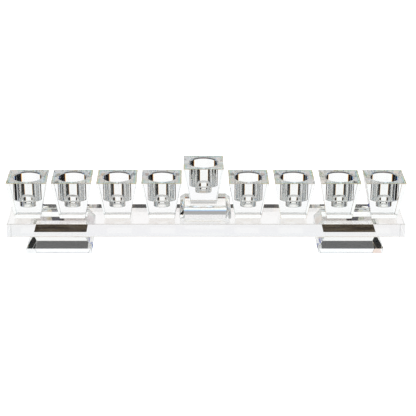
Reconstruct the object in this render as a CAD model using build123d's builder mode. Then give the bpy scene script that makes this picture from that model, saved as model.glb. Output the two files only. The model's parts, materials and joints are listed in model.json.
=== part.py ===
from build123d import *
import os

# Crystal menorah: one bar on two bevelled feet, eight cups in a row and a raised helper cup.
# Every glass block is its own solid, and a thin film of clear adhesive joins each pair of blocks.
# Millimetres, +Z up, +X along the bar, origin on the ground below the middle of the bar.

# Adhesive film, and the small polished break on every outer glass edge.
FILM_T = 0.1
ARRIS = 0.2

# Bar: a plain rectangular slab.
BAR_L = 396.0
BAR_W = 54.0
BAR_H = 14.0

# Feet: square blocks with a low upright band and four slopes up to the bonded top.
# Like the cups, they are bonded by hand, so the two are not quite the same distance out.
FOOT_BASE = 65.0
FOOT_TOP = 52.8
FOOT_BAND_H = 5.1
FOOT_H = 15.0
FOOT_PLACES = {"left": -146.1, "right": 144.0}

# Riser below the helper cup: square, bevelled above and below an upright band.
RISER_SIDE = 51.0
RISER_FACE = 41.0
RISER_BAND_H = 4.0
RISER_H = 15.0
RISER_X = -0.9

# Cups: square blocks flaring upwards.
CUP_TOP = 40.0
CUP_BASE = 25.4
CUP_H = 40.0
CUP_PITCH = 44.5

# How far each cup is set off its pitch along the bar, as the hand-bonded original has them.
CUP_OFFSETS = (0.0, 0.0, 0.3, 0.2, -2.7, -2.4, -1.4, -0.2, 0.0)
HELPER_PLACE = 4

# Stepped round seat in each cup: a wide seat for an oil glass, a narrow one for a candle.
SEAT_R = 14.0
SEAT_DEPTH = 21.5
SEAT_LEAD_IN = 1.0
SEAT_FLOOR_R = 1.5
CANDLE_R = 8.0
CANDLE_DEPTH = 7.0
CANDLE_FLOOR_R = 1.0

# Heights of the stack above the ground.
BAR_BOTTOM = FOOT_H + FILM_T
BAR_TOP = BAR_BOTTOM + BAR_H
DECK = BAR_TOP + FILM_T
RISER_TOP_Z = DECK + RISER_H
SHAMASH_BOTTOM = RISER_TOP_Z + FILM_T

os.makedirs("parts", exist_ok=True)


def save(builder, node):
    """Label one finished solid and write it to its own file."""
    builder.part.label = node
    export_step(builder.part, f"parts/{node}.step")


def save_film(node, x, bottom, side):
    """Adhesive film between two flat glass faces, clear of the polished edge breaks."""
    with BuildPart() as film:
        with BuildSketch(Plane.XY.offset(bottom)):
            with Locations((x, 0)):
                Rectangle(side - 2 * ARRIS, side - 2 * ARRIS)
        extrude(amount=FILM_T)
    save(film, node)


def save_bevelled_block(node, x, bottom, sections):
    """Square block through its (height, side) sections, with flat ends to bond to."""
    with BuildPart() as block:
        for lower, upper in zip(sections, sections[1:]):
            for level, side in (lower, upper):
                with BuildSketch(Plane.XY.offset(bottom + level)):
                    with Locations((x, 0)):
                        Rectangle(side, side)
            loft()
        level_edges = block.edges().filter_by(Plane.XY)
        end_edges = level_edges.group_by(Axis.Z)[0] + level_edges.group_by(Axis.Z)[-1]
        chamfer(block.edges() - level_edges + end_edges, ARRIS)
    save(block, node)


def save_cup(node, x, bottom):
    """Flared square cup with the stepped round seat turned down from its rim."""
    rim = bottom + CUP_H
    seat_floor = rim - SEAT_DEPTH
    candle_floor = seat_floor - CANDLE_DEPTH
    with BuildPart() as cup:
        for level, side in ((bottom, CUP_BASE), (rim, CUP_TOP)):
            with BuildSketch(Plane.XY.offset(level)):
                with Locations((x, 0)):
                    Rectangle(side, side)
        loft()
        chamfer(cup.edges(), ARRIS)
        with BuildSketch(Plane.XZ.shift_origin((x, 0, 0))):
            with BuildLine():
                Polyline(
                    (0, rim),
                    (SEAT_R + SEAT_LEAD_IN, rim),
                    (SEAT_R, rim - SEAT_LEAD_IN),
                    (SEAT_R, seat_floor),
                    (CANDLE_R, seat_floor),
                    (CANDLE_R, candle_floor),
                    (0, candle_floor),
                    close=True,
                )
            make_face()
        revolve(axis=Axis((x, 0, 0), (0, 0, 1)), mode=Mode.SUBTRACT)
        seat_corner = cup.edges().filter_by(GeomType.CIRCLE).filter_by_position(Axis.Z, seat_floor, seat_floor)
        fillet(seat_corner.sort_by(SortBy.RADIUS)[-1], SEAT_FLOOR_R)
        candle_corner = cup.edges().filter_by(GeomType.CIRCLE).filter_by_position(Axis.Z, candle_floor, candle_floor)
        fillet(candle_corner, CANDLE_FLOOR_R)
    save(cup, node)


# The bar.
with BuildPart() as bar:
    with BuildSketch(Plane.XY.offset(BAR_BOTTOM)):
        Rectangle(BAR_L, BAR_W)
    extrude(amount=BAR_H)
    chamfer(bar.edges(), ARRIS)
save(bar, "bar")

# The feet and the films that hold the bar on them.
foot_sections = ((0, FOOT_BASE), (FOOT_BAND_H, FOOT_BASE), (FOOT_H, FOOT_TOP))
for end, x in FOOT_PLACES.items():
    save_bevelled_block(f"foot_{end}", x, 0, foot_sections)
    save_film(f"bond_foot_{end}", x, FOOT_H, FOOT_TOP)

# The riser.
band_low = (RISER_H - RISER_BAND_H) / 2
band_high = band_low + RISER_BAND_H
riser_sections = ((0, RISER_FACE), (band_low, RISER_SIDE), (band_high, RISER_SIDE), (RISER_H, RISER_FACE))
save_film("bond_riser", RISER_X, BAR_TOP, RISER_FACE)
save_bevelled_block("riser", RISER_X, DECK, riser_sections)

# The cups, from -X to +X: eight on the bar, and the helper cup in the middle on the riser.
number = 0
for place, offset in enumerate(CUP_OFFSETS):
    x = (place - HELPER_PLACE) * CUP_PITCH + offset
    if place == HELPER_PLACE:
        save_film("bond_shamash_cup", x, RISER_TOP_Z, CUP_BASE)
        save_cup("shamash_cup", x, SHAMASH_BOTTOM)
    else:
        number += 1
        save_film(f"bond_cup_{number}", x, BAR_TOP, CUP_BASE)
        save_cup(f"cup_{number}", x, DECK)
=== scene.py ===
import json
import math

import bmesh
import bpy
from mathutils import Matrix, Vector


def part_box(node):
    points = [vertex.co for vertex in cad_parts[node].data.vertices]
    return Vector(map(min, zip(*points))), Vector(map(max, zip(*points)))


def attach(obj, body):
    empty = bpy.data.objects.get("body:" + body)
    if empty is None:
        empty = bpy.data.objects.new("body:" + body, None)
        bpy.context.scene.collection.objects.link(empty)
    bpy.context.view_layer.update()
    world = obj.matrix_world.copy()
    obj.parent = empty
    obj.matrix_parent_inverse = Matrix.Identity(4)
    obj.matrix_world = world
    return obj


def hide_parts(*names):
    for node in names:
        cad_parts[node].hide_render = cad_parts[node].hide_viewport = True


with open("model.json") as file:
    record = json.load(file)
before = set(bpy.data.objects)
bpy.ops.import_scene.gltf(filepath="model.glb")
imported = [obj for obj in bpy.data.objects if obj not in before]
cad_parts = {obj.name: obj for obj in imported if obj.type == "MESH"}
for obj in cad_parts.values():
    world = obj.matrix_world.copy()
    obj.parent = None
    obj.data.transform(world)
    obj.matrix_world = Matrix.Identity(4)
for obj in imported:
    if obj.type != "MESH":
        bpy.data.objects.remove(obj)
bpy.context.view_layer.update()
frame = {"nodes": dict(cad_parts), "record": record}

# A crystal menorah: clear glass blocks bonded face to face. Every block is rebuilt here on the
# CAD's own boxes and mounts, so that its bonded faces can be told from its polished ones.
# Metres throughout.

# ---------------------------------------------------------------- sizes not held by a box or mount
ARRIS = 0.0002             # polished break on every outer edge
FOOT_BAND_H = 0.0051       # upright band under a foot's slopes
RISER_BAND_H = 0.0040      # upright band between the riser's slopes
STEP_ROUND = 0.0003        # rounding where the candle hole meets the seat floor
CANDLE_ROUND = 0.0010      # rounding at the bottom of the candle hole
RING_STEPS = 128
ROUND_STEPS = 8
SAME = 1e-6                # two heights closer than this are one
SHARP_DEGREES = 25         # edges that turn more than this are shaded sharp

# ---------------------------------------------------------------- looks of the glass
GLASS_IOR = 1.517
NOISE_LOW, NOISE_SPAN = 0.35, 0.3          # the part of a noise's range that its stops share
# The rims' spectrum and pastel patches are painted glints, standing in for the glass splitting light into
# colours.
FRINGE_SHARE = 0.10                        # share of a rim's width that its spectrum takes
FRINGE_PATCH_SCALE = 45.0
FRINGE_PATCH_EDGE = (0.42, 0.56)           # noise values over which the spectrum sets in
PAINTED_SPECTRUM = ((1.0, 0.62, 0.42), (1.0, 0.90, 0.45), (0.55, 0.98, 0.72), (0.50, 0.78, 1.0), (1.0, 1.0, 1.0))
WHITE = (1.0, 1.0, 1.0)
CLEAR_TINTS = (WHITE, (0.985, 1.0, 0.997))
# Painted tints for the broken edges, standing in for what they pass on through the glass: warm through its
# thin side, teal along its length.
PAINTED_EDGE_WARM_TINTS = ((0.52, 0.40, 0.27), (0.88, 0.76, 0.62))
PAINTED_EDGE_TEAL_TINTS = ((0.20, 0.52, 0.47), (0.84, 0.95, 0.93))
# Painted glints in pastel colours on the cups' rims.
RIM_PAINTED_GLINT_TINTS = (WHITE, (0.80, 0.90, 1.0), (0.97, 1.0, 1.0), WHITE, (1.0, 0.90, 0.78), (0.86, 0.98, 0.92), WHITE)
FLECK_SCALE = 300.0
FLECK_RADII = (0.06, 0.12)                 # a fleck's core and outline, as shares of its cell
FLECK_CLEARNESS = 0.85

CUPS = ("cup_1", "cup_2", "cup_3", "cup_4", "shamash_cup", "cup_5", "cup_6", "cup_7", "cup_8")
FEET = ("foot_left", "foot_right")
MOUNTS = {mount["name"]: mount for mount in frame["record"]["mounts"]}

# Kinds of face, which are also the slots of every piece's mesh.
POLISHED, BONDED, BROKEN_EDGE, BORED, RIM = range(5)


# ---------------------------------------------------------------- materials
def new_material(name):
    material = bpy.data.materials.new(name)
    material.use_nodes = True
    tree = material.node_tree
    tree.nodes.clear()
    return material, tree


def add(tree, kind, inputs=None, **settings):
    """Add a node; inputs maps a socket to a value or to another node's output socket."""
    node = tree.nodes.new(kind)
    for name, value in settings.items():
        setattr(node, name, value)
    for name, value in (inputs or {}).items():
        if isinstance(value, bpy.types.NodeSocket):
            tree.links.new(value, node.inputs[name])
        else:
            node.inputs[name].default_value = value
    return node


def spread(tree, value, low, high):
    """Map a 0 to 1 value on to low to high."""
    node = add(tree, "ShaderNodeMapRange", {"Value": value, "To Min": low, "To Max": high})
    return node.outputs["Result"]


def fade(tree, value, start, end):
    """Smooth 0 to 1 as value goes from start to end."""
    node = add(tree, "ShaderNodeMapRange", {"Value": value, "From Min": start, "From Max": end},
               interpolation_type="SMOOTHSTEP")
    return node.outputs["Result"]


def math_node(tree, operation, first, second=0.0):
    return add(tree, "ShaderNodeMath", {0: first, 1: second}, operation=operation).outputs[0]


def mix_colors(tree, share, first, second, **settings):
    node = add(tree, "ShaderNodeMix", {0: share, 6: first, 7: second}, data_type="RGBA", **settings)
    return node.outputs[2]


def color_ramp(tree, value, stops):
    """Colour read off (position, colour) stops."""
    node = add(tree, "ShaderNodeValToRGB", {"Fac": value})
    elements = node.color_ramp.elements
    while len(elements) < len(stops):
        elements.new(0.5)
    for element, (position, color) in zip(elements, stops):
        element.position = position
        element.color = (*color, 1.0)
    return node.outputs["Color"]


def evenly(colors, low=0.0, width=1.0):
    """Stops for colours spaced evenly from low over width."""
    return [(low + width * i / (len(colors) - 1), color) for i, color in enumerate(colors)]


def noise_ramp(tree, place, scale, colors):
    """Colours picked by noise."""
    noise = add(tree, "ShaderNodeTexNoise", {"Vector": place, "Scale": scale, "Detail": 2.0})
    return color_ramp(tree, noise.outputs["Fac"], evenly(colors, NOISE_LOW, NOISE_SPAN))


def fringe(tree, tint, strength):
    """Paint a faint spectrum along the outer edge of a square face: a painted glint that stands in for the
    glass splitting light into colours.
    """
    place = add(tree, "ShaderNodeTexCoord").outputs["Generated"]
    axes = add(tree, "ShaderNodeSeparateXYZ", {"Vector": place}).outputs
    off_middle = [math_node(tree, "ABSOLUTE", math_node(tree, "SUBTRACT", axes[name], 0.5)) for name in "XY"]
    depth = add(tree, "ShaderNodeMapRange", {"Value": math_node(tree, "MAXIMUM", *off_middle),
                                             "From Min": 0.5, "From Max": 0.5 - FRINGE_SHARE})
    spectrum = color_ramp(tree, depth.outputs["Result"], evenly(PAINTED_SPECTRUM))
    return mix_colors(tree, strength, tint, spectrum, blend_type="MULTIPLY")


def glass(name, tints, tint_scale, rough, rough_scale, bump_scale, bump_height,
          rings=False, painted_end_tints=None, fringed=False):
    """Clear glass whose faint tint, polish and waviness all come from textures.

    With the end tints, faces turned towards an end of the piece take those tints instead; on the broken
    edges these are painted tints that stand in for the colour light picks up along the glass's length.
    """
    material, tree = new_material(name)
    place = add(tree, "ShaderNodeTexCoord").outputs["Object"]
    tint = noise_ramp(tree, place, tint_scale, tints)
    if fringed:
        patches = add(tree, "ShaderNodeTexNoise", {
            "Vector": place,
            "Scale": FRINGE_PATCH_SCALE,
            "Detail": 1.0,
        })
        tint = fringe(tree, tint, fade(tree, patches.outputs["Fac"], *FRINGE_PATCH_EDGE))
    if painted_end_tints:
        normal = add(tree, "ShaderNodeNewGeometry").outputs["Normal"]
        facing = add(tree, "ShaderNodeSeparateXYZ", {"Vector": normal}).outputs["X"]
        end_tint = noise_ramp(tree, place, tint_scale, painted_end_tints)
        tint = mix_colors(tree, math_node(tree, "ABSOLUTE", facing), tint, end_tint)
    polish = add(tree, "ShaderNodeTexNoise", {"Vector": place, "Scale": rough_scale, "Detail": 3.0})
    if rings:
        relief = add(tree, "ShaderNodeTexWave", {"Vector": place, "Scale": bump_scale, "Distortion": 1.5,
                                                 "Detail": 2.0}, wave_type="BANDS", bands_direction="Z")
    else:
        relief = add(tree, "ShaderNodeTexNoise", {"Vector": place, "Scale": bump_scale, "Detail": 1.0})
    bump = add(tree, "ShaderNodeBump", {"Height": relief.outputs["Fac"], "Strength": 1.0,
                                        "Distance": bump_height})
    shader = add(tree, "ShaderNodeBsdfPrincipled", {
        "Base Color": tint,
        "Roughness": spread(tree, polish.outputs["Fac"], *rough),
        "Normal": bump.outputs["Normal"],
        "IOR": GLASS_IOR,
        "Transmission Weight": 1.0,
    })
    add(tree, "ShaderNodeOutputMaterial", {"Surface": shader.outputs["BSDF"]})
    return material


def adhesive():
    """The optical adhesive between two blocks: see-through, with a few faint flecks."""
    material, tree = new_material("bonded_face")
    place = add(tree, "ShaderNodeTexCoord").outputs["Object"]
    flecks = add(tree, "ShaderNodeTexVoronoi", {"Vector": place, "Scale": FLECK_SCALE})
    fleck = add(tree, "ShaderNodeMapRange", {
        "Value": flecks.outputs["Distance"],
        "From Min": FLECK_RADII[0],
        "From Max": FLECK_RADII[1],
        "To Min": FLECK_CLEARNESS,
        "To Max": 1.0,
    })
    clear = add(tree, "ShaderNodeBsdfTransparent", {"Color": fleck.outputs["Result"]})
    add(tree, "ShaderNodeOutputMaterial", {"Surface": clear.outputs["BSDF"]})
    return material


CLEAR_FACE = {"rough": (0.0, 0.008), "rough_scale": 25.0, "bump_scale": 40.0, "bump_height": 0.0000006}
MATERIALS = {
    POLISHED: glass("crystal", CLEAR_TINTS, 12.0, **CLEAR_FACE),
    BONDED: adhesive(),
    # The broken edges' warm and teal tints are painted; they stand in for what the edges pass on through the
    # glass.
    BROKEN_EDGE: glass("crystal_edge", PAINTED_EDGE_WARM_TINTS, 60.0, rough=(0.02, 0.09), rough_scale=300.0,
                       bump_scale=900.0, bump_height=0.000002, painted_end_tints=PAINTED_EDGE_TEAL_TINTS),
    BORED: glass("crystal_bore", CLEAR_TINTS, 12.0, rough=(0.0, 0.03), rough_scale=80.0,
                 bump_scale=350.0, bump_height=0.0000002, rings=True),
    # The rims' pastel and rainbow colours are painted glints.
    RIM: glass("crystal_rim", RIM_PAINTED_GLINT_TINTS, 30.0, **CLEAR_FACE, fringed=True),
}


# ---------------------------------------------------------------- meshes
def span(node):
    """Middle and half length of a node's box along X."""
    low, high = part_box(node)
    return (low.x + high.x) / 2, (high.x - low.x) / 2


def flat_half(node):
    """Half side of the face that a node's adhesive film joins, out to its sharp corners."""
    return span("bond_" + node)[1] + ARRIS


def block(levels, centre):
    """Oblong block through its (z, half length, half width) levels, with its outer edges broken."""
    bm = bmesh.new()
    kind = bm.faces.layers.int.new("kind")
    rings = []
    for z, half_x, half_y in levels:
        corners = ((-half_x, -half_y), (half_x, -half_y), (half_x, half_y), (-half_x, half_y))
        rings.append([bm.verts.new((centre + x, y, z)) for x, y in corners])
    bm.faces.new(rings[0][::-1])
    bm.faces.new(rings[-1])
    shoulders = set()
    for lower, upper in zip(rings, rings[1:]):
        for i in range(4):
            bm.faces.new((lower[i], lower[i - 3], upper[i - 3], upper[i]))
    for ring in rings[1:-1]:
        shoulders |= {bm.edges.get((ring[i], ring[i - 3])) for i in range(4)}
    edges = [edge for edge in bm.edges if edge not in shoulders]
    broken = bmesh.ops.bevel(bm, geom=edges, offset=ARRIS, segments=1, profile=0.5, affect="EDGES")
    for face in broken["faces"]:
        face[kind] = BROKEN_EDGE
    return bm


def footprint(node):
    low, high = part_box(node)
    return low.x, high.x, low.y, high.y


def mark_bonds(bm, z, films):
    """Cut the level face at z along the films' outlines, and mark what lies inside them as bonded."""
    kind = bm.faces.layers.int["kind"]
    areas = [footprint(film) for film in films]
    cuts = [((x, 0, 0), (1, 0, 0)) for x in sorted({x for area in areas for x in area[:2]})]
    cuts += [((0, y, 0), (0, 1, 0)) for y in sorted({y for area in areas for y in area[2:]})]
    for point, normal in cuts:
        flat = [face for face in bm.faces if all(abs(v.co.z - z) < SAME for v in face.verts)]
        edges = list({edge for face in flat for edge in face.edges})
        verts = list({vert for face in flat for vert in face.verts})
        bmesh.ops.bisect_plane(bm, geom=flat + edges + verts, plane_co=point, plane_no=normal)
    for face in bm.faces:
        middle = face.calc_center_median()
        inside = any(a[0] < middle.x < a[1] and a[2] < middle.y < a[3] for a in areas)
        if inside and abs(middle.z - z) < SAME:
            face[kind] = BONDED


def finish_piece(bm, node):
    """Turn a bmesh into the piece that stands for its CAD node."""
    kind = bm.faces.layers.int["kind"]
    bmesh.ops.recalc_face_normals(bm, faces=bm.faces)
    for face in bm.faces:
        face.material_index = face[kind]
    mesh = bpy.data.meshes.new(node + "_glass")
    bm.to_mesh(mesh)
    bm.free()
    for slot in sorted(MATERIALS):
        mesh.materials.append(MATERIALS[slot])
    piece = bpy.data.objects.new(mesh.name, mesh)
    bpy.context.scene.collection.objects.link(piece)
    mesh.set_sharp_from_angle(angle=math.radians(SHARP_DEGREES))
    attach(piece, "root")
    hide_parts(node)


def rounded(r, z, radius, start, end):
    """Points of a rounding about (r, z), between two angles in degrees."""
    points = []
    for i in range(ROUND_STEPS + 1):
        angle = math.radians(start + (end - start) * i / ROUND_STEPS)
        points.append((r + radius * math.cos(angle), z + radius * math.sin(angle)))
    return points


def seat_profile(node, rim_z):
    """The (radius, z) points of a cup's seat and candle hole, from the rim to the bottom."""
    seat, candle = MOUNTS[node + "_seat"], MOUNTS[node + "_candle"]
    seat_r, candle_r = seat["dims"]["r_mm"] / 1000, candle["dims"]["r_mm"] / 1000
    half_seat, half_candle = seat["dims"]["length_mm"] / 2000, candle["dims"]["length_mm"] / 2000
    wall_high, wall_low = seat["pos_m"][2] + half_seat, seat["pos_m"][2] - half_seat
    step_z, candle_low = candle["pos_m"][2] + half_candle, candle["pos_m"][2] - half_candle
    lead_in, floor_round = rim_z - wall_high, wall_low - step_z
    return ([(seat_r + lead_in, rim_z), (seat_r, wall_high)]
            + rounded(seat_r - floor_round, wall_low, floor_round, 0, -90)
            + rounded(candle_r + STEP_ROUND, step_z - STEP_ROUND, STEP_ROUND, 90, 180)
            + rounded(candle_r - CANDLE_ROUND, candle_low, CANDLE_ROUND, 0, -90))


def sink_bore(bm, profile, centre):
    """Open the top face and sweep the profile down from it round the cup's axis."""
    kind = bm.faces.layers.int["kind"]
    top = max(bm.faces, key=lambda face: face.calc_center_median().z)
    outline = list(top.edges)
    bmesh.ops.delete(bm, geom=[top], context="FACES_ONLY")
    turns = [math.tau * i / RING_STEPS for i in range(RING_STEPS)]
    rings = [[bm.verts.new((centre + r * math.cos(turn), r * math.sin(turn), z)) for turn in turns]
             for r, z in profile]
    for upper, lower in zip(rings, rings[1:]):
        for i in range(RING_STEPS):
            face = bm.faces.new((upper[i - 1], upper[i], lower[i], lower[i - 1]))
            face.smooth = True
            face[kind] = BORED
    bm.faces.new(rings[-1])[kind] = BORED
    rim = [bm.edges.get((rings[0][i - 1], rings[0][i])) for i in range(RING_STEPS)]
    filled = bmesh.ops.triangle_fill(bm, use_beauty=True, edges=outline + rim)
    for face in filled["geom"]:
        if isinstance(face, bmesh.types.BMFace):
            face[kind] = RIM


def make_bar():
    low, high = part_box("bar")
    bm = block([(low.z, high.x, high.y), (high.z, high.x, high.y)], 0.0)
    mark_bonds(bm, high.z, ["bond_" + node for node in CUPS if node != "shamash_cup"] + ["bond_riser"])
    mark_bonds(bm, low.z, ["bond_" + foot for foot in FEET])
    finish_piece(bm, "bar")


def make_foot(node):
    low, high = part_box(node)
    centre, base = span(node)
    top = flat_half(node)
    bm = block([(low.z, base, base), (low.z + FOOT_BAND_H, base, base), (high.z, top, top)], centre)
    mark_bonds(bm, high.z, ["bond_" + node])
    finish_piece(bm, node)


def make_riser():
    low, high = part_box("riser")
    centre, side = span("riser")
    face = flat_half("riser")
    band_low = (low.z + high.z - RISER_BAND_H) / 2
    bm = block([(low.z, face, face), (band_low, side, side), (band_low + RISER_BAND_H, side, side),
                (high.z, face, face)], centre)
    mark_bonds(bm, low.z, ["bond_riser"])
    mark_bonds(bm, high.z, ["bond_shamash_cup"])
    finish_piece(bm, "riser")


def make_cup(node):
    low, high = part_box(node)
    centre, outer = span(node)
    base = flat_half(node)
    # The box is measured across the broken rim edge, so the sharp rim lies a little outside it.
    slope = (outer - base) / (high.z - low.z)
    top = outer + ARRIS * slope / math.hypot(1, slope)
    bm = block([(low.z, base, base), (high.z, top, top)], centre)
    sink_bore(bm, seat_profile(node, high.z), centre)
    mark_bonds(bm, low.z, ["bond_" + node])
    finish_piece(bm, node)


make_bar()
for foot in FEET:
    make_foot(foot)
make_riser()
for cup in CUPS:
    make_cup(cup)
for name, node in frame["nodes"].items():
    if name.startswith("bond_"):
        for slot in node.material_slots:
            slot.material = MATERIALS[BONDED]


# ---------------------------------------------------------------- stage
# A pale sweep under a soft studio. The studio is bright behind and in front of the object and straight
# out at its sides, and dark low down in between, which draws the edges of clear glass. Glass splits
# colours, so the studio's light edges lie in slightly different directions for red, green and blue.
# Seen directly, the floor and the surround are plain and pale; the rest is what the glass passes on,
# including a dim brown shade painted on the floor below the feet's back slopes.
STUDIO_TURN = 4.0          # degrees the studio is turned to the right
SPLIT = 0.8                # degrees between one colour's light edges and the next
# Brightness by height above the horizon, as (degrees, value), for each side of the studio.
BEHIND = ((0, 0.74), (18, 0.74), (22, 0.68), (30, 0.68), (35, 0.50), (38.5, 0.13), (44, 0.13),
          (46.5, 0.33), (53.2, 0.33), (55.5, 0.74))
BESIDE = ((0, 0.0), (16, 0.0), (19, 0.50), (24, 0.50), (27, 0.28), (40, 0.38), (66, 0.50))
BEFORE = ((0, 0.40), (18, 0.40), (20, 0.01), (23, 0.01), (25, 0.60), (32, 0.60), (36, 0.42), (44, 0.42),
          (54, 0.40))
PANEL = ((0, 0.62), (40, 0.55), (66, 0.55))
# Degrees from straight behind over which one side of the studio gives way to the next.
BEHIND_TURN = (28, 32)
BEFORE_TURN = (95, 130)
PANEL_START = (86, 88)
PANEL_END = (100, 96)
OVERHEAD = (0.25, 0.21, 0.14)
OVERHEAD_TURN = (68, 76)   # degrees above the horizon over which the dim ceiling takes over

FLOOR = 6.0                # half side
FLOOR_GAP = 0.00005        # keeps the floor clear of the feet's undersides
FLOOR_PAINT = (0.3, 0.3, 0.3, 1.0)
FLOOR_GLOW = 0.9
GLOSS = (0.97, 0.97, 0.97, 1.0)
GLOSS_ROUGHNESS = 0.03
GROUND = (0.50, 0.50, 0.50, 1.0)
# Colours of the shade painted on the floor below the feet's back slopes, seen only through the glass.
SHADES = ((0.020, 0.014, 0.008), (0.115, 0.096, 0.068))
SHADE_FROM = 0.020         # the shade below the feet starts this far back
STREAKS = (20.0, 250.0, 1.0)
STEEP = (0.17, 0.08)       # from grazing to steep, as 1 less the cosine of the angle to the floor's normal


def mix(tree, share, first, second):
    return add(tree, "ShaderNodeMix", {0: share, 2: first, 3: second}, data_type="FLOAT").outputs[0]


def level(tree, elevation, steps):
    """Brightness read off (degrees, value) steps."""
    top = max(value for _, value in steps)
    height = math_node(tree, "DIVIDE", elevation, 90.0)
    share = color_ramp(tree, height, [(degrees / 90, (value / top,) * 3) for degrees, value in steps])
    return math_node(tree, "MULTIPLY", share, top)


def studio():
    """The world: plain white to the camera, and the studio's light to everything else."""
    world = bpy.data.worlds.new("studio")
    world.use_nodes = True
    tree = world.node_tree
    tree.nodes.clear()
    place = add(tree, "ShaderNodeTexCoord").outputs["Generated"]
    axes = add(tree, "ShaderNodeSeparateXYZ", {"Vector": place}).outputs
    turn = math_node(tree, "DEGREES", math_node(tree, "ARCTAN2", axes["X"], axes["Y"]))
    square_turn = math_node(tree, "ABSOLUTE", turn)
    turn = math_node(tree, "ABSOLUTE", math_node(tree, "SUBTRACT", turn, STUDIO_TURN))
    elevation = math_node(tree, "DEGREES", math_node(tree, "ARCSINE", axes["Z"]))
    on_panel = math_node(tree, "MULTIPLY", fade(tree, square_turn, *PANEL_START),
                         fade(tree, square_turn, *PANEL_END))
    bands = []
    for shift, overhead in zip((-SPLIT, 0.0, SPLIT), OVERHEAD):
        seen_turn = math_node(tree, "ADD", turn, shift)
        seen_elevation = math_node(tree, "ADD", elevation, shift)
        sides = mix(tree, fade(tree, seen_turn, *BEHIND_TURN), level(tree, seen_elevation, BEHIND),
                    level(tree, seen_elevation, BESIDE))
        sides = mix(tree, on_panel, sides, level(tree, seen_elevation, PANEL))
        round_about = mix(tree, fade(tree, seen_turn, *BEFORE_TURN), sides,
                          level(tree, seen_elevation, BEFORE))
        bands.append(mix(tree, fade(tree, seen_elevation, *OVERHEAD_TURN), round_about, overhead))
    color = add(tree, "ShaderNodeCombineColor", {"Red": bands[0], "Green": bands[1], "Blue": bands[2]})
    seen = add(tree, "ShaderNodeLightPath").outputs["Is Camera Ray"]
    shown = mix_colors(tree, seen, color.outputs["Color"], (*WHITE, 1.0))
    back = add(tree, "ShaderNodeBackground", {"Color": shown})
    add(tree, "ShaderNodeOutputWorld", {"Surface": back.outputs["Background"]})
    return world


def painted_shade_mask(tree):
    """1 below the feet's back slopes, where a shade is painted on the floor, and 0 elsewhere on the floor.
    """
    place = add(tree, "ShaderNodeNewGeometry").outputs["Position"]
    axes = add(tree, "ShaderNodeSeparateXYZ", {"Vector": place})
    total = 0.0
    for foot in FEET:
        centre, half = span(foot)
        along = math_node(tree, "SUBTRACT", axes.outputs["X"], centre)
        inside = (math_node(tree, "LESS_THAN", math_node(tree, "ABSOLUTE", along), half),
                  math_node(tree, "GREATER_THAN", axes.outputs["Y"], SHADE_FROM))
        total = math_node(tree, "ADD", math_node(tree, "MULTIPLY", *inside), total)
    return total


def painted_shade_color(tree):
    """Painted dim brown shade, with streaks along the bar."""
    place = add(tree, "ShaderNodeNewGeometry").outputs["Position"]
    streaks = add(tree, "ShaderNodeMapping", {"Vector": place, "Scale": STREAKS})
    return noise_ramp(tree, streaks.outputs["Vector"], 1.0, SHADES)


def sweep():
    """The floor: plain and pale to the camera; glossy through the glass, and dull where seen steeply, with a
    shade painted below the feet's back slopes.
    """
    mesh = bpy.data.meshes.new("floor")
    corners = ((-FLOOR, -FLOOR), (FLOOR, -FLOOR), (FLOOR, FLOOR), (-FLOOR, FLOOR))
    mesh.from_pydata([(x, y, -FLOOR_GAP) for x, y in corners], [], [(0, 1, 2, 3)])
    floor = bpy.data.objects.new("floor", mesh)
    bpy.context.scene.collection.objects.link(floor)
    material, tree = new_material("floor")
    pale = add(tree, "ShaderNodeBsdfPrincipled", {
        "Base Color": FLOOR_PAINT,
        "Roughness": 0.9,
        "Emission Color": (*WHITE, 1.0),
        "Emission Strength": FLOOR_GLOW,
    })
    gloss = add(tree, "ShaderNodeBsdfGlossy", {"Color": GLOSS, "Roughness": GLOSS_ROUGHNESS})
    # The floor's glow through the glass, with a dim brown shade painted below the feet's back slopes.
    ground = mix_colors(tree, painted_shade_mask(tree), GROUND, painted_shade_color(tree))
    lit = add(tree, "ShaderNodeEmission", {"Color": ground, "Strength": 1.0})
    steep = fade(tree, add(tree, "ShaderNodeLayerWeight", {"Blend": 0.5}).outputs["Facing"], *STEEP)
    below = add(tree, "ShaderNodeMixShader", {0: steep, 1: gloss.outputs[0], 2: lit.outputs[0]})
    seen = add(tree, "ShaderNodeLightPath").outputs["Is Camera Ray"]
    both = add(tree, "ShaderNodeMixShader", {0: seen, 1: below.outputs[0], 2: pale.outputs[0]})
    add(tree, "ShaderNodeOutputMaterial", {"Surface": both.outputs[0]})
    mesh.materials.append(material)


bpy.context.scene.world = studio()
sweep()

scene = bpy.context.scene
scene.view_settings.view_transform = "Standard"
scene.view_settings.look = "High Contrast"
scene.cycles.max_bounces = 48
scene.cycles.transmission_bounces = 48
scene.cycles.glossy_bounces = 24
scene.cycles.diffuse_bounces = 4
scene.cycles.transparent_max_bounces = 64
scene.cycles.sample_clamp_indirect = 10

# ---------------------------------------------------------------- camera
LENS_MM, SENSOR_MM = 125.04, 36.0
SHIFT_X, SHIFT_Y = 0.0047, -0.0095
DISTANCE = 1.4526
YAW, PITCH, ROLL = (math.radians(angle) for angle in (0.70, 21.6, 0.27))
AIM_ABOVE_BAR = 0.0247
camera = bpy.data.objects.new("camera", bpy.data.cameras.new("camera"))
scene.collection.objects.link(camera)
scene.camera = camera
camera.data.sensor_fit = "HORIZONTAL"
camera.data.sensor_width = SENSOR_MM
camera.data.lens = LENS_MM
camera.data.shift_x = SHIFT_X
camera.data.shift_y = SHIFT_Y
camera.data.clip_end = 100
turn = Matrix.Rotation(-YAW, 4, "Z") @ Matrix.Rotation(math.radians(90) - PITCH, 4, "X")
aim = Vector((0, 0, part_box("bar")[0].z + AIM_ABOVE_BAR))
camera.matrix_world = (Matrix.Translation(aim) @ turn @ Matrix.Translation((0, 0, DISTANCE))
                       @ Matrix.Rotation(ROLL, 4, "Z"))
